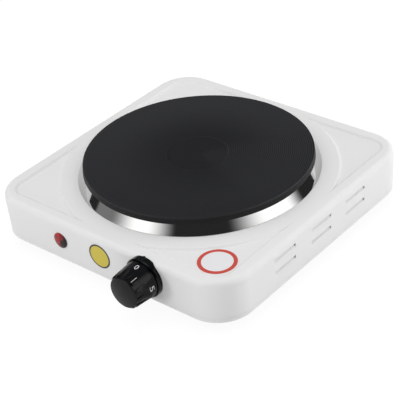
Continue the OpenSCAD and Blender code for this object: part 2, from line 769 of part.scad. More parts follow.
module stack_rivet() color("silver") translate([stack_x, 0, knob_z]) {
    disc_y(stack_rivet_r, y_inner + 0.6, y_stack_end + 0.8);
    disc_y(stack_rivet_r + 1.4, y_stack_end, y_stack_end + 1);
}

// A flat strip across the stack, between two x positions
module leaf(x0, x1, y0, w) {
    box(x0, x1, y0, y0 + leaf_t, knob_z - w / 2, knob_z + w / 2);
}

module bimetal_strip() color("darkgray") difference() {
    y = y_arm - leaf_t - 1.5;
    leaf(contact_x + 4, stack_x + stack_r, y, leaf_w);
    translate([stack_x, 0, knob_z]) disc_y(stack_rivet_r, y - cut, y + 2);
    translate([knob_x, 0, knob_z]) disc_y(thermo_pin_r + 1, y - cut, y + 2);
}

module moving_contact_arm() color("goldenrod") difference() {
    leaf(contact_x - 3, arm_pivot_x - 0.15, y_arm, leaf_w);
    translate([contact_x, 0, knob_z]) disc_y(1, y_arm - cut, y_arm + 2);
}

module moving_contact() color("lightgray") translate([contact_x, 0, knob_z]) {
    disc_y(1, y_arm, y_arm + leaf_t + 0.5);
    disc_y(contact_r, y_arm + leaf_t, y_arm + leaf_t + contact_h);
}

module line_terminal() color("goldenrod") difference() {
    union() {
        leaf(arm_pivot_x + 0.15, stack_x + stack_r, y_arm, leaf_w);
        leaf(stack_x, thermo_tab_x, y_arm, tab_w);
    }
    translate([stack_x, 0, knob_z]) disc_y(stack_rivet_r, y_arm - cut, y_arm + 2);
}

module load_terminal() color("goldenrod") difference() {
    union() {
        leaf(contact_x - 3, stack_x + stack_r, y_fixed, leaf_w);
        leaf(stack_x, thermo_tab_x, y_fixed, tab_w);
    }
    translate([stack_x, 0, knob_z]) disc_y(stack_rivet_r, y_fixed - cut, y_fixed + 2);
    translate([contact_x, 0, knob_z]) disc_y(1, y_fixed - cut, y_fixed + 2);
}

module fixed_contact() color("lightgray") translate([contact_x, 0, knob_z]) {
    disc_y(1, y_fixed - 0.5, y_fixed + leaf_t);
    disc_y(contact_r, y_fixed - fixed_contact_h, y_fixed);
}

// A flute gets deeper and wider from the knob's middle to its front
module knob_flute() {
    back = knob_rim - flute_l;
    front = knob_rim + cut;
    intersection() {
        rotate([90, 0, 0]) linear_extrude(height = flute_w[1], center = true) polygon([
            [knob_front_r - flute_depth, front], [knob_r + cut, front], [knob_r + cut, back],
            [knob_r, back]]);
        translate([knob_r + cut, 0, 0]) rotate([90, 0, -90]) linear_extrude(height = knob_r) polygon([
            [-flute_w[0] / 2, back], [flute_w[0] / 2, back], [flute_w[1] / 2, front],
            [-flute_w[1] / 2, front]]);
    }
}

// The knob is turned about its own axis, then laid along -Y
module knob() color("dimgray") translate([knob_x, y_knob, knob_z]) rotate([90, 0, 0]) difference() {
    rotate_extrude($fn = 96) polygon(concat(
        [[0, 0], [knob_r - 0.4, 0], [knob_r, 0.5]],
        [[knob_front_r, knob_rim - 0.5], [knob_front_r - 0.5, knob_rim]],
        [for (i = [0:steps]) let (a = 90 * i / steps)
            [knob_cap_r - knob_round + knob_round * cos(a), knob_l - knob_dome - knob_round + knob_round * sin(a)]],
        [for (i = [1:steps]) let (t = i / steps)
            [(knob_cap_r - knob_round) * (1 - t), knob_l - knob_dome * (1 - t) * (1 - t)]]));
    for (i = [0:knob_flutes - 1]) rotate([0, 0, 360 * (i + 0.25) / knob_flutes]) knob_flute();
    difference() {
        translate([0, 0, -cut]) cylinder(r = knob_front_r - knob_wall, h = knob_l - knob_face_t + cut);
        translate([0, 0, y_bezel - y_bush + knob_gap]) cylinder(r = knob_hub_r, h = knob_l);
    }
    difference() {
        translate([0, 0, -cut]) cylinder(r = spindle_r + run_gap, h = y_knob - y_spindle_front + cut);
        box(-knob_r, knob_r, flat_up + clip_t + run_gap, knob_r, 0, knob_l);
    }
}

module knob_spring_clip() color("silver") translate([knob_x, 0, knob_z])
    box(-1.6, 1.6, y_spindle_front, y_bush - 2.4, flat_up, flat_up + clip_t);

module knob_bezel() color("dimgray") difference() {
    translate([knob_x, 0, knob_z]) difference() {
        union() {
            disc_y(bezel_r, y_bezel + 0.8, y_front + 1.5);
            translate([0, y_bezel, 0]) rotate([-90, 0, 0])
                cylinder(r1 = bezel_r - 0.8, r2 = bezel_r, h = 0.8);
            box(-0.8, 0.8, y_bezel + 0.6, y_front + 1.5, 0, bezel_r + 0.7);
        }
        disc_y(bezel_r - 1.6, y_bezel + 1.4, y_front + 2);
        disc_y(bush_r + slack, y_bezel - cut, y_front + 2);
    }
    body_block(0);
}

module lamp_lens() color("firebrick") difference() {
    translate([-lamp_x, 0, lamp_z]) translate([0, y_lamp, 0]) rotate([90, 0, 0]) rotate_extrude()
        polygon(concat([[0, -2], [lamp_r, -2], [lamp_r, 0.6]],
            [for (i = [1:steps]) let (t = i / steps) [lamp_r * (1 - t), 0.6 + (lamp_dome - 0.6) * (1 - (1 - t) * (1 - t))]]));
    body_block(0);
}

module lamp_body() color("ivory") translate([-lamp_x, 0, lamp_z]) difference() {
    disc_y(lamp_tube_r, y_lamp + 0.4, y_tail);
    disc_y(lamp_tube_r - 1.2, y_lamp - cut, y_tail - 1.5);
    for (s = [-1, 1]) translate([s * 2, 0, 0]) disc_y(lead_r + 0.15, y_tail - 2, y_tail + cut);
}

module lamp_retaining_clip() color("silver") translate([-lamp_x, 0, lamp_z]) difference() {
    disc_y(lamp_r + 1.5, y_lamp + sheet_t + 0.3, y_lamp + sheet_t + 0.9);
    disc_y(lamp_tube_r, y_lamp, y_lamp + 4);
}

module neon_bulb() color("orange") translate([-lamp_x, 0, lamp_z]) {
    disc_y(bulb_r, y_lamp + 2, y_lamp + 3 + bulb_l);
    disc_y(lamp_tube_r - 1.2, y_lamp + 2 + bulb_l, y_lamp + 4 + bulb_l);
}

module lamp_resistor() color("tan") translate([-lamp_x + 2, 0, lamp_z])
    disc_y(resistor_r, y_tail, y_tail + resistor_l);

module cord_gland() color("dimgray") translate([cord_x, 0, z_edge + cord_up]) difference() {
    grip = cord_hole_d / 2 + 2;
    wall = half - wall_lean(z_edge + cord_up);
    union() {
        disc_y(grip, wall - sheet_t - 4, wall + 3);
        disc_y(grip + 2, wall + 0.5, wall + 3);
        disc_y(grip + 1.5, wall - sheet_t - 4, wall - sheet_t - 0.5);
    }
    disc_y(cord_hole_d / 2, wall - 8, wall + 5);
}

module pole_places() {
    for (i = [-1:1]) translate([cord_x + i * pole_pitch, block_y, 0]) children();
}

module terminal_block() color("ivory") difference() {
    box(cord_x - 1.5 * pole_pitch, cord_x + 1.5 * pole_pitch, block_y - block_l / 2 + 1,
        block_y + block_l / 2 - 1, z_floor, z_floor + block_top);
    pole_places() translate([0, 0, insert_z]) disc_y(insert_r, -block_l, block_l);
    pole_places() for (s = [-1, 1]) translate([0, s * 5, insert_z])
        cylinder(r = block_screw_r + 0.8, h = block_top);
}

module terminal_inserts() color("goldenrod") difference() {
    pole_places() translate([0, 0, insert_z]) disc_y(insert_r, -block_l / 2, block_l / 2);
    pole_places() translate([0, 0, insert_z]) disc_y(insert_bore_r, -block_l, block_l);
    pole_places() for (s = [-1, 1]) translate([0, s * 5, insert_z])
        cylinder(r = block_screw_r, h = block_top);
}

module terminal_screws() color("silver") pole_places() for (s = [-1, 1])
    translate([0, s * 5, insert_z + insert_bore_r - 0.2]) cylinder(r = block_screw_r, h = 6);

module earth_screw() color("goldenrod") translate([earth_x, earth_y, 0]) {
    translate([0, 0, z_base]) cylinder(r = screw_r, h = base_t + strap_t + 1);
    translate([0, 0, z_floor + strap_t]) cylinder(r = head_r, h = head_h);
}

module earth_tag() color("silver") translate([earth_x, earth_y, z_floor]) difference() {
    union() {
        cylinder(r = head_r + 0.6, h = strap_t);
        box(-2, 2, -9, 0, 0, strap_t);
        translate([0, -10.5, tag_bore_z]) rotate([-90, 0, 0]) cylinder(r = wire_r + 0.8, h = 5);
    }
    translate([0, 0, -cut]) cylinder(r = screw_r, h = 4);
    translate([0, -11.5, tag_bore_z]) rotate([-90, 0, 0]) cylinder(r = wire_r + slack, h = 5);
}

// Push-on receptacle along +X, with its tab slot at the origin end
module spade() difference() {
    union() {
        translate([-sleeve_l, -tab_w / 2 - 0.8, -1.3]) cube([sleeve_l, tab_w + 1.6, 2.6]);
        rotate([0, 90, 0]) cylinder(r = wire_r + 0.8, h = barrel_l);
    }
    translate([-sleeve_l - cut, -tab_w / 2 - slack, -tab_t / 2 - slack])
        cube([sleeve_l, tab_w + 2 * slack, tab_t + 2 * slack]);
    translate([1.5, 0, 0]) rotate([0, 90, 0]) cylinder(r = wire_r + slack, h = barrel_l);
}

module spade_connectors() color("silver") {
    for (y = [y_arm, y_fixed]) translate([thermo_tab_x + 1, y + leaf_t / 2, knob_z])
        rotate([90, 0, 0]) spade();
    for (s = [0, 1]) mirror([s, 0, 0])
        translate([tab_reach + 1, tab_y, tab_z]) spade();
}

function unit(v) = v / norm(v);
function tangent(p, i) = unit(p[min(i + 1, len(p) - 1)] - p[max(i - 1, 0)]);
function carried(p, i, n) = i == len(p) ? [] : let (t = tangent(p, i), m = unit(n - (n * t) * t))
    concat([m], carried(p, i + 1, m));
function curve_at(a, b, c, d, t) = 0.5 * (2 * b + (c - a) * t
    + (2 * a - 5 * b + 4 * c - d) * t * t + (3 * b - a - 3 * c + d) * t * t * t);
function smooth(p, k) = concat([for (i = [0:len(p) - 2], j = [0:k - 1])
    curve_at(p[max(i - 1, 0)], p[i], p[i + 1], p[min(i + 2, len(p) - 1)], j / k)], [p[len(p) - 1]]);

// Round tube swept along a smoothed route
module tube(route, r) {
    sides = 8;
    path = smooth(route, 4);
    up = carried(path, 0, [0.2, 0.1, 1]);
    last = len(path) - 1;
    points = [for (i = [0:last], k = [0:sides - 1]) let (a = 360 * k / sides)
        path[i] + r * (cos(a) * up[i] + sin(a) * cross(tangent(path, i), up[i]))];
    walls = [for (i = [0:last - 1], k = [0:sides - 1]) let (n = (k + 1) % sides)
        [i * sides + k, (i + 1) * sides + k, (i + 1) * sides + n, i * sides + n]];
    polyhedron(points, concat([[for (k = [0:sides - 1]) k]], walls,
        [[for (k = [sides - 1:-1:0]) last * sides + k]]));
}

module wire_live() color("saddlebrown") tube(route_live, wire_r);
module wire_load() color("dimgray") tube(route_load, wire_r);
module wire_neutral() color("royalblue") tube(route_neutral, wire_r);
module wire_earth() color("yellowgreen") tube(route_earth, wire_r);
module lamp_leads() color("white") {
    tube(route_lamp_live, lead_r);
    tube(route_lamp_neutral, lead_r);
}

module round_decal() color("tomato")
    translate([round_decal_at, -round_decal_at, z_panel])
        cylinder(r = round_decal_r, h = decal_t);

module front_decal() color("gold") intersection() {
    difference() {
        body_block(-decal_t);
        body_block(0);
    }
    translate([-front_decal_x, 0, z_edge + front_decal_up])
        disc_y(front_decal_d / 2, -half - cut, -half + corner_r);
}

housing();
base_plate();
base_screws();
foot_front_left();
foot_front_right();
foot_rear_left();
foot_rear_right();
foot_screws();
heat_shield();
shield_rivets();
hotplate_casting();
trim_ring();
heating_coil_inner();
heating_coil_outer();
ceramic_embedding();
plate_cover();
cover_screws();
plate_terminal_block();
plate_terminal_live();
plate_terminal_neutral();
centre_stud();
clamp_bridge();
stud_washer();
stud_nut();
thermostat_frame();
thermostat_screws();
spindle_bush();
bush_nut();
spindle();
push_pin();
stack_insulators();
stack_rivet();
bimetal_strip();
moving_contact_arm();
moving_contact();
line_terminal();
load_terminal();
fixed_contact();
knob();
knob_spring_clip();
knob_bezel();
lamp_lens();
lamp_body();
lamp_retaining_clip();
neon_bulb();
lamp_resistor();
cord_gland();
terminal_block();
terminal_inserts();
terminal_screws();
earth_screw();
earth_tag();
spade_connectors();
wire_live();
wire_load();
wire_neutral();
wire_earth();
lamp_leads();
round_decal();
front_decal();
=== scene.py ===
import json
import math

import bmesh
import bpy
from mathutils import Matrix, Vector


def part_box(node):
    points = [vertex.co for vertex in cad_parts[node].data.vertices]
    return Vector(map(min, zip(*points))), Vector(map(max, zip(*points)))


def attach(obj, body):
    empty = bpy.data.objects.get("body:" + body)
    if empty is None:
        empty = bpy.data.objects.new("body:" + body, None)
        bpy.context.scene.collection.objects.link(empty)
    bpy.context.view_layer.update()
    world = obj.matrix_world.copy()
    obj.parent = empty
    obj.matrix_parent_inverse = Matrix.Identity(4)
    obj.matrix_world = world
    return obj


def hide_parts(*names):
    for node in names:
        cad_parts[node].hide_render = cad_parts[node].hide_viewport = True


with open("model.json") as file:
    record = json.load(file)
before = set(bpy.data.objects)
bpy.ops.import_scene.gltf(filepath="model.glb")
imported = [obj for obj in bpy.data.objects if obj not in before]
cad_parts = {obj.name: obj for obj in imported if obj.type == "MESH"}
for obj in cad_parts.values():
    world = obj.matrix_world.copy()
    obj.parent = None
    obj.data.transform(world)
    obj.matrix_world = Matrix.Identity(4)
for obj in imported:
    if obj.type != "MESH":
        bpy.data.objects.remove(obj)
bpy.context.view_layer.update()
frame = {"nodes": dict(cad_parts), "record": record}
scene = bpy.context.scene
mm = 0.001
print("frame loaded,", len(frame["nodes"]), "nodes")


def tone(red, green, blue):
    # screen values 0-255 to a linear colour
    def linear(value):
        value = value / 255
        return value / 12.92 if value <= 0.04045 else ((value + 0.055) / 1.055) ** 2.4
    return (linear(red), linear(green), linear(blue), 1.0)


# A shader socket that does its sums as plain Python
class Socket:
    def __init__(self, tree, socket=None):
        self.tree, self.socket = tree, socket

    def add(self, kind, settings=None, values=None, output=0):
        node = self.tree.nodes.new(kind)
        for name, value in (settings or {}).items():
            setattr(node, name, value)
        for name, value in (values or {}).items():
            if isinstance(value, Socket):
                self.tree.links.new(value.socket, node.inputs[name])
            else:
                node.inputs[name].default_value = value
        return Socket(self.tree, node.outputs[output] if node.outputs else None)

    def maths(self, operation, *terms):
        return self.add("ShaderNodeMath", {"operation": operation}, dict(enumerate(terms)))

    def __add__(self, other):
        return self.maths("ADD", self, other)

    def __radd__(self, other):
        return self.maths("ADD", other, self)

    def __sub__(self, other):
        return self.maths("SUBTRACT", self, other)

    def __rsub__(self, other):
        return self.maths("SUBTRACT", other, self)

    def __mul__(self, other):
        return self.maths("MULTIPLY", self, other)

    def __rmul__(self, other):
        return self.maths("MULTIPLY", other, self)

    def __truediv__(self, other):
        return self.maths("DIVIDE", self, other)

    def __pow__(self, other):
        return self.maths("POWER", self, other)

    def cosine(self):
        return self.maths("COSINE", self)

    def part(self, axis):
        return self.add("ShaderNodeSeparateXYZ", {}, {"Vector": self}, axis)

    def grey(self):
        return self.add("ShaderNodeCombineXYZ", {}, {"X": self, "Y": self, "Z": self})

    def ramp(self, low, high, start=0.0, end=1.0):
        return self.add("ShaderNodeMapRange", {"interpolation_type": "SMOOTHSTEP"}, {
            "Value": self, "From Min": low, "From Max": high, "To Min": start, "To Max": end},
            "Result")

    def blend(self, first, second):
        # first where this is 0, second where it is 1
        return self.add("ShaderNodeMix", {"data_type": "RGBA"}, {0: self, 6: first, 7: second}, 2)

    def place(self, centre=(0, 0, 0)):
        spot = self.add("ShaderNodeTexCoord", output="Object")
        return self.add("ShaderNodeMapping", {"vector_type": "POINT"}, {
            "Vector": spot, "Location": tuple(-part for part in centre)})

    def noise(self, scale, detail=2.0, where=None):
        return self.add("ShaderNodeTexNoise", {}, {
            "Vector": where or self.place(), "Scale": scale, "Detail": detail})

    def bump(self, height, distance):
        return self.add("ShaderNodeBump", {}, {"Height": height, "Distance": distance})


def finish(name, recipe):
    material = bpy.data.materials.new(name)
    material.use_nodes = True
    tree = material.node_tree
    tree.nodes.clear()
    base = Socket(tree)
    shader = base.add("ShaderNodeBsdfPrincipled", {}, recipe(base))
    base.add("ShaderNodeOutputMaterial", {}, {"Surface": shader})
    return material


def plain(name, colour, rough, metal=0.0, grain=900, depth=0.00002, worn=0.12, extra=None):
    # one base colour with a fine grain and a slow change of tone
    def recipe(base):
        slow = base.noise(grain / 12, 3)
        fine = base.noise(grain, 2)
        dark = tuple(c * (1 - worn) for c in colour[:3]) + (1.0,)
        values = {
            "Base Color": slow.ramp(0.35, 0.65).blend(dark, colour),
            "Roughness": fine.ramp(0.3, 0.7, rough * 0.85, min(1, rough * 1.15)),
            "Metallic": metal,
            "Normal": base.bump(fine, depth)}
        values.update(extra or {})
        return values
    return finish(name, recipe)


def middleOf(node):
    low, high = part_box(node)
    return (low + high) / 2


def fromAxis(spot):
    # distance from the plate's axis
    x, y = spot.part("X"), spot.part("Y")
    return (x * x + y * y) ** 0.5


def along(a, b, way):
    # how far a spot lies in one direction, from its places on two axes
    return a * way[0] + b * way[1]


enamelValues = {"colour": tone(231, 231, 231), "shade": tone(229, 229, 229), "drift": 9,
                "rough": 0.5, "roughSpread": 0.05, "patches": 25, "peel": 420,
                "peelDepth": 0.00001}


def enamelRecipe(base):
    values = enamelValues
    slow = base.noise(values["drift"], 2)
    peel = base.noise(values["peel"], 2)
    return {
        "Base Color": slow.ramp(0, 1).blend(values["shade"], values["colour"]),
        "Roughness": base.noise(values["patches"], 1).ramp(
            0, 1, values["rough"] - values["roughSpread"], values["rough"] + values["roughSpread"]),
        "Normal": base.bump(peel, values["peelDepth"])}


# distances in mm: the pale outer part starts at middle and is full at rim; a painted sheen makes it
# paler still on the far side and darker on the near side
ringPitch = 1.62
# side is the near-black colour of the painted shadow on the plate's side; outer is the paler rim
# tone that also carries the painted sheen
ironValues = {"colour": tone(30, 31, 33), "outer": tone(49, 50, 52), "side": tone(13, 14, 16),
              "middle": 18, "rim": 78, "paleness": 0.55, "paintedSheenShare": 0.3, "paintedSheenReach": 75,
              "paintedSheenWay": (-0.48, 0.77), "rightWay": (0.96, 0.28), "rightFrom": 0.6, "rightTo": 0.95,
              "sideShadeTop": 59.2, "sideShadeEnd": 57.6, "paintedRingShadeAll": 0.08, "paintedRingGlintsRight": 0.8,
              "rough": 0.5, "roughSpread": 0.06, "grain": 2600, "relief": 0.00002,
              "ringRelief": 0.3, "specular": 0.25}


def ironRecipe(base):
    # a darker middle and a paler rim, a painted sheen on the far side, painted shade and glints of
    # the turned rings that show most on the right, and a painted shadow on the plate's side
    values = ironValues
    spot = base.place()
    x, y = spot.part("X"), spot.part("Y")
    radius = fromAxis(spot)
    rings = (radius * (2 * math.pi / (ringPitch * mm))).cosine()
    speck = base.noise(values["grain"], 3)
    # painted sheen: positive towards the far side, negative towards the near side
    toward = along(x, y, values["paintedSheenWay"]) / (values["paintedSheenReach"] * mm)
    # where on the plate the painted ring glints show, on the part facing the right-hand light
    right = (along(x, y, values["rightWay"]) / (radius + mm)).ramp(
        values["rightFrom"], values["rightTo"])
    # painted shadow: the side colour below the plate's top edge, faded in between these heights
    aboveSideShadow = spot.part("Z").ramp(values["sideShadeEnd"] * mm, values["sideShadeTop"] * mm)
    pale = (radius.ramp(values["middle"] * mm, values["rim"] * mm)
            * (toward * values["paintedSheenShare"] + values["paleness"]))
    # painted shade and glints of the turned rings, put into the colour
    turned = rings * (right * values["paintedRingGlintsRight"] + values["paintedRingShadeAll"])
    return {
        "Base Color": aboveSideShadow.blend(values["side"],
                                  (pale + turned).blend(values["colour"], values["outer"])),
        "Roughness": speck.ramp(0.2, 0.8, values["rough"] - values["roughSpread"],
                                values["rough"] + values["roughSpread"]),
        "Specular IOR Level": values["specular"],
        "Normal": base.bump(speck + rings * values["ringRelief"], values["relief"])}


trimValues = {"colour": (0.58, 0.58, 0.575, 1.0), "rough": 0.045, "roughSpread": 0.01,
              "streaks": 1900, "streakRun": 1.5, "relief": 0.00000005}


def trimRecipe(base):
    # polished sheet with fine streaks that run round it
    values = trimValues
    spot = base.place()
    x, y = spot.part("X"), spot.part("Y")
    streak = base.add("ShaderNodeCombineXYZ", {}, {
        "X": y.maths("ARCTAN2", y, x) * values["streakRun"],
        "Y": fromAxis(spot) * values["streaks"], "Z": spot.part("Z") * values["streaks"]})
    lines = base.noise(1.0, 3, streak)
    return {
        "Base Color": values["colour"],
        "Metallic": 1.0,
        "Roughness": lines.ramp(0, 1, values["rough"] - values["roughSpread"],
                                values["rough"] + values["roughSpread"]),
        "Normal": base.bump(lines, values["relief"])}


# dark is the colour of the painted shade and of the darker facet cells; dim sets how deep the
# painted shade goes
lensValues = {"red": tone(170, 32, 37), "dark": tone(24, 6, 8), "facets": 430.0, "uneven": 0.8,
              "shadedSideWay": (0.93, -0.38), "dimFrom": 0.8, "dimTo": 3.4, "dim": 0.75,
              "paintedGlint": 0.7, "least": 0.16, "rough": (0.12, 0.25), "relief": 0.00008,
              "specular": 0.3, "coat": 0.1, "coatRough": 0.05}


def lensRecipe(base):
    # cut facets, with painted glints from cell to cell and painted shade on the side that faces
    # away from the window
    values = lensValues
    cells = base.add("ShaderNodeTexVoronoi", {}, {
        "Vector": base.place(), "Scale": values["facets"], "Randomness": values["uneven"]},
        "Color").part("X")
    spot = base.place(middleOf("lamp_lens"))
    # painted shade: grows towards the side that faces away from the window
    away = along(spot.part("X"), spot.part("Z"), values["shadedSideWay"])
    # painted light and shade: cells lighter and darker as if facets caught the light, less on the
    # side facing away
    paintedFacetLight = (cells * values["paintedGlint"] + values["least"]
           - away.ramp(values["dimFrom"] * mm, values["dimTo"] * mm) * values["dim"])
    return {
        "Base Color": paintedFacetLight.ramp(0, 0.8).blend(values["dark"], values["red"]),
        "Roughness": cells.ramp(0.2, 0.8, *values["rough"]),
        "Normal": base.bump(cells, values["relief"]),
        "Specular IOR Level": values["specular"],
        "Coat Weight": values["coat"], "Coat Roughness": values["coatRough"]}


def discMask(base, node, radius, axes, soft=0.12):
    # 0 inside a circle in mm about the node's middle, 1 outside it, on two axes
    spot = base.place(middleOf(node))
    a, b = spot.part(axes[0]), spot.part(axes[1])
    return ((a * a + b * b) ** 0.5).ramp((radius - soft) * mm, (radius + soft) * mm)


def decalRecipe(node, axes, values):
    # a printed film: one colour inside, another round its edge
    def recipe(base):
        edge = discMask(base, node, values["radius"] - values["edge"], axes)
        fine = base.noise(900, 2)
        return {"Base Color": edge.blend(values["inside"], values["outside"]),
                "Roughness": fine.ramp(0.3, 0.7, *values["rough"]),
                "Normal": base.bump(fine, 0.000004)}
    return recipe


roundDecal = {"radius": 14.84, "edge": 3.0, "inside": tone(231, 231, 233),
              "outside": tone(205, 78, 66), "rough": (0.28, 0.36)}
frontDecal = {"radius": 10.5, "edge": 1.3, "inside": tone(206, 188, 62),
              "outside": tone(44, 40, 44), "rough": (0.3, 0.4)}
stripeValues = {"alongX": 600, "alongZ": 300, "green": tone(52, 130, 62),
                "yellow": tone(214, 200, 50)}


def sleeveStripeRecipe(base):
    spot = base.place()
    stripe = (spot.part("X") * stripeValues["alongX"]
              + spot.part("Z") * stripeValues["alongZ"]).cosine()
    return {"Base Color": stripe.ramp(-0.1, 0.1).blend(stripeValues["green"],
                                                       stripeValues["yellow"]),
            "Roughness": base.noise(900, 2).ramp(0.3, 0.7, 0.5, 0.6)}


finishes = {
    "white_enamel": finish("whiteEnamel", enamelRecipe),
    "black_iron": finish("blackIronCoat", ironRecipe),
    "stainless_trim": finish("polishedStainless", trimRecipe),
    "lens_plastic": finish("redLensPlastic", lensRecipe),
    "round_decal_print": finish("redRingFilm", decalRecipe("round_decal", ("X", "Y"), roundDecal)),
    "front_decal_print": finish("yellowFilm", decalRecipe("front_decal", ("X", "Z"), frontDecal)),
    "knob_plastic": plain("blackKnobPlastic", tone(6, 8, 10), 0.18, grain=1500, depth=0.000004,
                          extra={"Specular IOR Level": 0.22}),
    "gland_plastic": plain("blackGlandPlastic", tone(36, 36, 37), 0.5, grain=1500),
    "foot_rubber": plain("footRubber", tone(40, 40, 41), 0.8, grain=1200, depth=0.00004),
    "galvanised_steel": plain("galvanisedSheet", (0.6, 0.61, 0.62, 1), 0.42, 1.0, 300, worn=0.2),
    "zinc_steel": plain("zincPlate", (0.66, 0.66, 0.65, 1), 0.32, 1.0, 1200),
    "resistance_wire": plain("resistanceWire", (0.3, 0.28, 0.26, 1), 0.55, 1.0, 1500),
    "insulating_ceramic": plain("bareCeramic", tone(226, 220, 204), 0.75, grain=700),
    "brass": plain("brass", (0.7, 0.52, 0.24, 1), 0.3, 1.0, 900),
    "bimetal": plain("bimetalStrip", (0.5, 0.49, 0.46, 1), 0.38, 1.0, 800),
    "contact_silver": plain("silverContact", (0.82, 0.82, 0.8, 1), 0.25, 1.0, 1500),
    "pale_plastic": plain("ivoryPlastic", tone(228, 222, 206), 0.5, grain=1100),
    "resistor_body": plain("tanLacquer", tone(196, 170, 128), 0.4),
    "brown_sleeve": plain("brownSleeve", tone(108, 66, 42), 0.55),
    "black_sleeve": plain("blackSleeve", tone(38, 38, 40), 0.55),
    "blue_sleeve": plain("blueSleeve", tone(46, 92, 168), 0.55),
    "white_sleeve": plain("whiteSleeve", tone(222, 222, 218), 0.55),
    "bulb_glass": plain("bulbGlass", (0.95, 0.8, 0.65, 1), 0.08, depth=0.000002,
                        extra={"Transmission Weight": 0.8, "IOR": 1.5}),
    "earth_sleeve": finish("earthSleeve", sleeveStripeRecipe),
}
markPaint = plain("markPaint", tone(212, 212, 208), 0.5)

slotOf = {part["node"]: part["material_slot"] for part in frame["record"]["subparts"]}
for node, obj in frame["nodes"].items():
    obj.data.materials.clear()
    obj.data.materials.append(finishes[slotOf[node]])
print("finishes made:", len(finishes))


def addPiece(name, bm, material, body, replaced=(), smooth=35):
    mesh = bpy.data.meshes.new(name)
    bm.to_mesh(mesh)
    bm.free()
    mesh.materials.append(material)
    if smooth:
        mesh.shade_smooth()
        mesh.set_sharp_from_angle(angle=math.radians(smooth))
    obj = bpy.data.objects.new(name, mesh)
    scene.collection.objects.link(obj)
    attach(obj, body)
    if replaced:
        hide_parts(*replaced)
    return obj


def softenEdges(obj):
    obj.modifiers.new("softEdges", "WEIGHTED_NORMAL").keep_sharp = True


def turned(profile, steps, closed=True):
    # spins an outline of (radius, height) points in mm about Z
    bm = bmesh.new()
    verts = [bm.verts.new((r * mm, 0, z * mm)) for r, z in profile]
    ends = verts[1:] + (verts[:1] if closed else [])
    edges = [bm.edges.new(pair) for pair in zip(verts, ends)]
    bmesh.ops.spin(bm, geom=verts + edges, cent=(0, 0, 0), axis=(0, 0, 1),
                   angle=2 * math.pi, steps=steps, use_merge=True)
    bmesh.ops.remove_doubles(bm, verts=bm.verts, dist=0.000002)
    bmesh.ops.recalc_face_normals(bm, faces=bm.faces)
    return bm


def nodeCopy(node):
    # the node's own mesh with its seams merged
    bm = bmesh.new()
    bm.from_mesh(frame["nodes"][node].data)
    bmesh.ops.remove_doubles(bm, verts=bm.verts, dist=0.000002)
    return bm


# Housing: pressed enamelled sheet, with soft edges
shell = nodeCopy("housing")
bmesh.ops.dissolve_limit(shell, angle_limit=math.radians(0.4), verts=shell.verts,
                         edges=shell.edges)
softenEdges(addPiece("housingShell", shell, finishes["white_enamel"], "body",
                     ["housing"], smooth=42))
print("housing made")

# Cast plate, with the fine rings that the lathe leaves; ribs are (outer, inner) radii
plate = {"top": 59.6, "middle": 25.0, "sunk": 0.6, "step": 1.5, "face": 92.0, "groove": 0.07,
         "edge": ((92.35, 59.5), (92.6, 59.25), (92.72, 58.9)), "side": 93.18, "sideFoot": 54.6,
         "seat": 54.0, "neck": 90.6, "lip": 53.1, "skirt": 92, "skirtFoot": 48.2,
         "ribs": ((86.5, 82.5), (52, 46), (24, 18), (10, 3)), "ribFoot": 44.5, "roof": 51,
         "studRoof": 53.5, "steps": 192}


def ringPoints(start, end, height):
    points, r = [], start
    while r + ringPitch < end:
        points += [(r, height), (r + ringPitch * 0.5, height),
                   (r + ringPitch * 0.75, height - plate["groove"])]
        r += ringPitch
    return points


def plateProfile():
    # from the middle of the face out to the side and back in under the plate
    low = plate["top"] - plate["sunk"]
    step = [(plate["middle"] - plate["step"] * (1 - t), low + plate["sunk"] * t * t * (3 - 2 * t))
            for t in (0, 0.2, 0.4, 0.6, 0.8, 1)]
    points = [(0, low)] + ringPoints(1.0, plate["middle"] - 1.6, low) + step
    points += ringPoints(plate["middle"] + 0.4, plate["face"] - 0.3, plate["top"])
    points += [(plate["face"], plate["top"]), *plate["edge"]]
    points += [(plate["side"], plate["sideFoot"]), (plate["side"], plate["seat"]),
               (plate["neck"], plate["seat"]), (plate["neck"], plate["lip"]),
               (plate["skirt"], plate["lip"]), (plate["skirt"], plate["skirtFoot"])]
    before = plate["skirtFoot"]
    for outer, inner in plate["ribs"]:
        points += [(outer, before), (outer, plate["ribFoot"]), (inner, plate["ribFoot"])]
        before = plate["roof"] if inner > plate["ribs"][-1][1] else plate["studRoof"]
        points.append((inner, before))
    return points + [(0, plate["studRoof"])]


addPiece("castPlate", turned(plateProfile(), plate["steps"], closed=False),
         finishes["black_iron"], "body", ["hotplate_casting"], smooth=40)
print("cast plate made")

# Trim ring: bright skirt that flares from the plate's edge down to the housing
trim = {"top": 54.0, "foot": 46.0, "lip": 90.8, "shoulder": 93.2, "out": 97.85, "wall": 0.8,
        "curl": 0.4, "turnIn": 93, "round": 0.15, "foldAt": 0.35, "steps": 480}
fall = trim["top"] - trim["foot"] - trim["curl"]
skin = trim["wall"] * math.hypot(trim["out"] - trim["shoulder"], fall) / fall


def onTrim(depth):
    # the skirt's radius at a depth below its top
    return trim["shoulder"] + (trim["out"] - trim["shoulder"]) * depth / fall


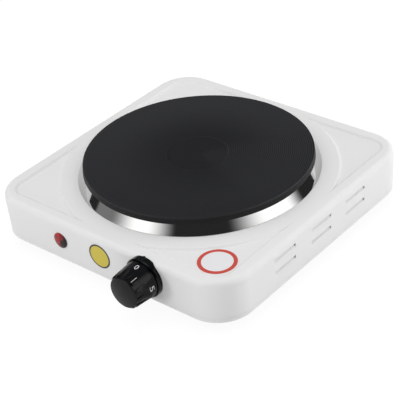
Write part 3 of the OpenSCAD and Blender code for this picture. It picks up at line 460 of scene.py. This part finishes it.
outside = [(trim["lip"], trim["top"]), (trim["shoulder"], trim["top"])]
outside += [(onTrim(depth), trim["top"] - depth) for depth in (1.8, 3.6, 5.4, 7.4)]
outside += [(trim["out"], trim["foot"] + trim["foldAt"]),
            (trim["out"], trim["foot"] + trim["round"]),
            (trim["out"] - trim["round"], trim["foot"]), (trim["turnIn"], trim["foot"])]
innerFoot, innerTop = trim["foot"] + trim["wall"], trim["top"] - trim["wall"]
inside = [(trim["turnIn"], innerFoot), (onTrim(7.2) - skin, innerFoot),
          (onTrim(trim["wall"]) - skin, innerTop), (trim["lip"], innerTop)]
addPiece("trimSkirt", turned(outside + inside, trim["steps"]), finishes["stainless_trim"], "body",
         ["trim_ring"], smooth=20)
print("trim ring made")

# Knob, its bezel and the marks on it
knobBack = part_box("knob")[1].y / mm
knob = {"x": 45.2, "z": 30.3, "skirt": 15.3, "front": 13.9, "rim": 18.2, "taperFrom": 0.5}
for node, name, rider in (("knob", "dialKnob", "knob"), ("knob_bezel", "knobBezel", "body")):
    softenEdges(addPiece(name, nodeCopy(node), finishes["knob_plastic"], rider,
                         [node], smooth=32))


def knobRadius(depth):
    # the knob's radius at a depth forward of its back
    share = min(1, max(0, depth - knob["taperFrom"]) / (knob["rim"] - knob["taperFrom"]))
    return knob["skirt"] + (knob["front"] - knob["skirt"]) * share


def wrapOnKnob(bm, angle, depth, lift):
    # lays a flat shape in mm, x round the knob and y towards the wall, on the knob's side
    for vert in bm.verts:
        forward = depth - vert.co.y
        radius = knobRadius(forward) + lift + vert.co.z
        turn = math.radians(angle) - vert.co.x / radius
        vert.co = Vector(((knob["x"] + radius * math.cos(turn)) * mm,
                          (knobBack - forward) * mm,
                          (knob["z"] + radius * math.sin(turn)) * mm))


marks = {"count": 6, "zeroAt": 83, "pitch": 56, "height": 4.5, "capShare": 0.72, "depth": 5.5,
         "thick": 0.08, "lift": 0.03, "lastWide": 1.7}
pointer = {"at": 58, "from": 12.1, "to": 18.2, "width": 0.42, "thick": 0.2, "lift": 0.05,
           "bevel": 0.05}


def letterShape(text, height):
    curve = bpy.data.curves.new("letter" + text, "FONT")
    curve.body = text
    curve.size = height / marks["capShare"]
    curve.align_x, curve.align_y = "CENTER", "CENTER"
    curve.extrude = marks["thick"] / 2
    curve.resolution_u = 6
    holder = bpy.data.objects.new("letter" + text, curve)
    scene.collection.objects.link(holder)
    shape = bpy.data.meshes.new_from_object(
        holder.evaluated_get(bpy.context.evaluated_depsgraph_get()))
    bm = bmesh.new()
    bm.from_mesh(shape)
    bpy.data.objects.remove(holder)
    bpy.data.meshes.remove(shape)
    bmesh.ops.remove_doubles(bm, verts=bm.verts, dist=0.0005)
    return bm


for number in range(marks["count"]):
    digit = letterShape(str(number), marks["height"])
    if number == marks["count"] - 1:
        bmesh.ops.scale(digit, vec=(marks["lastWide"], 1, 1), verts=digit.verts)
    wrapOnKnob(digit, marks["zeroAt"] + number * marks["pitch"], marks["depth"], marks["lift"])
    bmesh.ops.recalc_face_normals(digit, faces=digit.faces)
    addPiece("dialMark%d" % number, digit, markPaint, "knob", smooth=0)

line = bmesh.new()
bmesh.ops.create_cube(line, size=1.0)
bmesh.ops.scale(line, vec=(pointer["width"], pointer["to"] - pointer["from"], pointer["thick"]),
                verts=line.verts)
bmesh.ops.bevel(line, geom=line.edges[:], offset=pointer["bevel"], segments=2, profile=0.5,
                affect="EDGES", material=-1)
wrapOnKnob(line, pointer["at"], (pointer["from"] + pointer["to"]) / 2, pointer["lift"])
bmesh.ops.recalc_face_normals(line, faces=line.faces)
addPiece("dialPointer", line, markPaint, "knob", smooth=30)
print("knob made")

# Pilot lamp: a low faceted dome; each row is (share of the radius, rise above the last row)
lens = {"x": -42.4, "z": 28.5, "radius": 6.7, "band": 0.6, "facets": 10,
        "rows": ((0.9, 0.15), (0.66, 0.55), (0.34, 0.35))}
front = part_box("lamp_lens")[0].y / mm
dome = bmesh.new()
bmesh.ops.create_cone(dome, cap_ends=True, segments=lens["facets"] * 2, radius1=lens["radius"],
                      radius2=lens["radius"], depth=lens["band"])
bmesh.ops.delete(dome, geom=[f for f in dome.faces if f.normal.z > 0.5], context="FACES_ONLY")
loop = [edge for edge in dome.edges if edge.is_boundary]
for share, rise in lens["rows"]:
    made = bmesh.ops.extrude_edge_only(dome, edges=loop)["geom"]
    row = [part for part in made if isinstance(part, bmesh.types.BMVert)]
    shrink = lens["radius"] * share / row[0].co.xy.length
    bmesh.ops.scale(dome, vec=(shrink, shrink, 1), verts=row)
    bmesh.ops.translate(dome, vec=(0, 0, rise), verts=row)
    bmesh.ops.rotate(dome, cent=(0, 0, 0), verts=row,
                     matrix=Matrix.Rotation(math.pi / lens["facets"] / 2, 3, "Z"))
    loop = [part for part in made if isinstance(part, bmesh.types.BMEdge)]
bmesh.ops.contextual_create(dome, geom=loop)
bmesh.ops.triangulate(dome, faces=dome.faces)
bmesh.ops.transform(dome, matrix=Matrix.Rotation(math.radians(90), 4, "X"), verts=dome.verts)
peak = min(vert.co.y for vert in dome.verts)
bmesh.ops.translate(dome, vec=(lens["x"], front - peak, lens["z"]), verts=dome.verts)
bmesh.ops.scale(dome, vec=(mm, mm, mm), verts=dome.verts)
bmesh.ops.recalc_face_normals(dome, faces=dome.faces)
addPiece("lampLens", dome, finishes["lens_plastic"], "body", ["lamp_lens"],
         smooth=0)
print("lamp made")

# Floor: pale matte, and nearly plain white where the camera sees it
ground = {"reach": 6, "colour": (0.85, 0.85, 0.85, 1), "glow": 1.04, "glowShare": 0.9}
floor = bpy.data.objects.new("floor", bpy.data.meshes.new("floor"))
flat = bmesh.new()
bmesh.ops.create_grid(flat, x_segments=1, y_segments=1, size=ground["reach"])
flat.to_mesh(floor.data)
flat.free()
scene.collection.objects.link(floor)
floorPaint = bpy.data.materials.new("floorPaint")
floorPaint.use_nodes = True
floorPaint.node_tree.nodes.clear()
paint = Socket(floorPaint.node_tree)
matte = paint.add("ShaderNodeBsdfDiffuse", {}, {"Color": ground["colour"]})
shine = paint.add("ShaderNodeEmission", {}, {"Color": (1, 1, 1, 1), "Strength": ground["glow"]})
seen = paint.add("ShaderNodeLightPath", output="Is Camera Ray") * ground["glowShare"]
mixed = paint.add("ShaderNodeMixShader", {}, {0: seen, 1: matte, 2: shine})
paint.add("ShaderNodeOutputMaterial", {}, {"Surface": mixed})
floor.data.materials.append(floorPaint)

# What glossy pieces reflect: a dark room with soft lights and grey walls. Each spans compass
# degrees: dark before rise, full from full to fade, dark again after end.
roomDark = 0.03
roomTop = {"from": 0.6, "to": 0.9, "level": 0.3}
roomLights = {
    "leftSoftbox": {"rise": -138, "full": -110, "fade": -103, "end": -74, "level": 1.75},
    "rightSoftbox": {"rise": -28, "full": 12, "fade": 31, "end": 50, "level": 1.75},
    "greyScreen": {"rise": -156, "full": -152, "fade": -140, "end": -120, "level": 0.25},
    "rearWall": {"rise": 130, "full": 155, "fade": 165, "end": 180, "level": 0.35},
}
# The soft light that falls on the body: none from the horizon and most from straight above
softLevel = 1.38
world = bpy.data.worlds.new("studio")
scene.world = world
world.use_nodes = True
world.node_tree.nodes.clear()
sky = Socket(world.node_tree)
toward = sky.add("ShaderNodeTexCoord", output="Generated")
eastward, northward, height = toward.part("X"), toward.part("Y"), toward.part("Z")
compass = northward.maths("ARCTAN2", northward, eastward) * math.degrees(1)
sides = compass * 0 + roomDark
for light in roomLights.values():
    sides = sides + (compass.ramp(light["rise"], light["full"])
                     * compass.ramp(light["fade"], light["end"], light["level"], 0))
shiny = height.ramp(roomTop["from"], roomTop["to"]).blend(
    sides.grey(), (roomTop["level"],) * 3 + (1,))
glossy = sky.add("ShaderNodeLightPath", output="Is Glossy Ray")
eye = sky.add("ShaderNodeLightPath", output="Is Camera Ray")
shown = eye.blend(glossy.blend(height.ramp(0, 1, 0, softLevel).grey(), shiny), (1, 1, 1, 1))
background = sky.add("ShaderNodeBackground", {}, {"Color": shown, "Strength": 1.0})
sky.add("ShaderNodeOutputWorld", {}, {"Surface": background})

# Two soft lamps light the side walls and leave the front corner a little darker
lampSet = {"tilt": 83, "away": 1.6, "size": 0.3}
lamps = {"right": {"compass": 46, "power": 9.3}, "left": {"compass": -112, "power": 5.0}}
for side, values in lamps.items():
    lampData = bpy.data.lights.new(side + "Lamp", "AREA")
    lampData.energy, lampData.size = values["power"], lampSet["size"]
    lamp = bpy.data.objects.new(side + "Lamp", lampData)
    scene.collection.objects.link(lamp)
    lamp.matrix_world = (Matrix.Rotation(math.radians(values["compass"]), 4, "Z")
                         @ Matrix.Rotation(math.radians(lampSet["tilt"]), 4, "Y")
                         @ Matrix.Translation((0, 0, lampSet["away"])))
    lamp.visible_glossy = lamp.visible_camera = False

# Camera: turned round from the front, tilted up from straight down, and rolled a little
view = {"at": (0.5923, -0.6546, 0.5968), "turn": 42.28, "tilt": 56.56, "roll": -5.37,
        "lens": 116.7, "sensor": 36, "near": 0.01, "far": 20}
cameraData = bpy.data.cameras.new("camera")
cameraData.lens = view["lens"]
cameraData.sensor_width = view["sensor"]
cameraData.clip_start, cameraData.clip_end = view["near"], view["far"]
camera = bpy.data.objects.new("camera", cameraData)
scene.collection.objects.link(camera)
camera.matrix_world = (Matrix.Translation(view["at"])
                       @ Matrix.Rotation(math.radians(view["turn"]), 4, "Z")
                       @ Matrix.Rotation(math.radians(view["tilt"]), 4, "X")
                       @ Matrix.Rotation(math.radians(view["roll"]), 4, "Z"))
scene.camera = camera
scene.view_settings.view_transform = "Standard"
print("studio ready")

bpy.context.view_layer.update()
